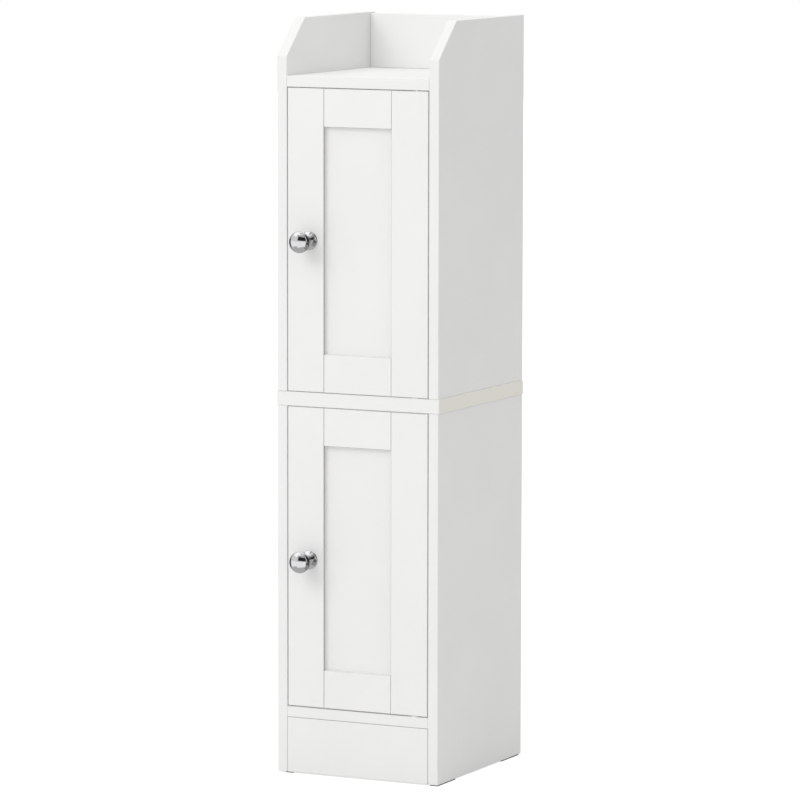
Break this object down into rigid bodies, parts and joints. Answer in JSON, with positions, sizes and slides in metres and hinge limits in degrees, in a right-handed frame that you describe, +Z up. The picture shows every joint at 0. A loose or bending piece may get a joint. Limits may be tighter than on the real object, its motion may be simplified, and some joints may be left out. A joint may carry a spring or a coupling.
{
  "type": "tall bathroom cabinet",
  "caption": "Slim free-standing white cabinet: framed inset doors one above the other, round metal knobs, inner shelves and an open tray top between raised sides with cut-off front corners.",
  "frame": {"origin": "on the floor, under the middle of the whole outline, knobs included", "axes": "+Z up, -Y towards the front with the doors and knobs, +X to the right seen from the front (the hinge side)"},
  "size_m": [0.2018, 0.252, 0.85],
  "materials": {
    "white_board": "white satin lacquered board",
    "white_thin_board": "white satin coated thin board",
    "beech": "plain planed beech",
    "chrome": "polished",
    "plated_steel": "bright zinc plating",
    "nylon": "natural nylon",
    "white_plastic": "moulded, fine grain",
    "pad_plastic": "dull grey",
    "magnet": "sintered ferrite, dark grey"
  },
  "bodies": {
    "cabinet": {"bottom_board": "white_board", "door_pivot_pins": "plated_steel", "door_washers": "nylon", "gallery_back_board": "white_board", "glide_pads": "pad_plastic", "joint_tongues": "beech", "kick_board": "white_board", "lower_back_panel": "white_thin_board", "lower_catch_housing": "white_plastic", "lower_catch_magnet": "magnet", "lower_shelf": "white_board", "lower_side_panel_left": "white_board", "lower_side_panel_right": "white_board", "middle_board": "white_board", "shelf_pins": "plated_steel", "top_board": "white_board", "upper_back_panel": "white_thin_board", "upper_catch_housing": "white_plastic", "upper_catch_magnet": "magnet", "upper_shelf": "white_board", "upper_side_panel_left": "white_board", "upper_side_panel_right": "white_board"},
    "upper_door": {"upper_door_bushes": "nylon", "upper_door_panel": "white_board", "upper_door_rail_bottom": "white_board", "upper_door_rail_top": "white_board", "upper_door_stile_left": "white_board", "upper_door_stile_right": "white_board", "upper_knob": "chrome", "upper_knob_screw": "plated_steel", "upper_strike_plate": "plated_steel"},
    "lower_door": {"lower_door_bushes": "nylon", "lower_door_panel": "white_board", "lower_door_rail_bottom": "white_board", "lower_door_rail_top": "white_board", "lower_door_stile_left": "white_board", "lower_door_stile_right": "white_board", "lower_knob": "chrome", "lower_knob_screw": "plated_steel", "lower_strike_plate": "plated_steel"}
  },
  "joints": [
    {"name": "upper_door_hinge", "type": "hinge", "parent": "cabinet", "child": "upper_door", "pos_m": [0.0708, -0.0898, 0.6039], "axis": [0, 0, 1], "range_deg": [0, 110]},
    {"name": "lower_door_hinge", "type": "hinge", "parent": "cabinet", "child": "lower_door", "pos_m": [0.0708, -0.0898, 0.2472], "axis": [0, 0, 1], "range_deg": [0, 110]}
  ]
}
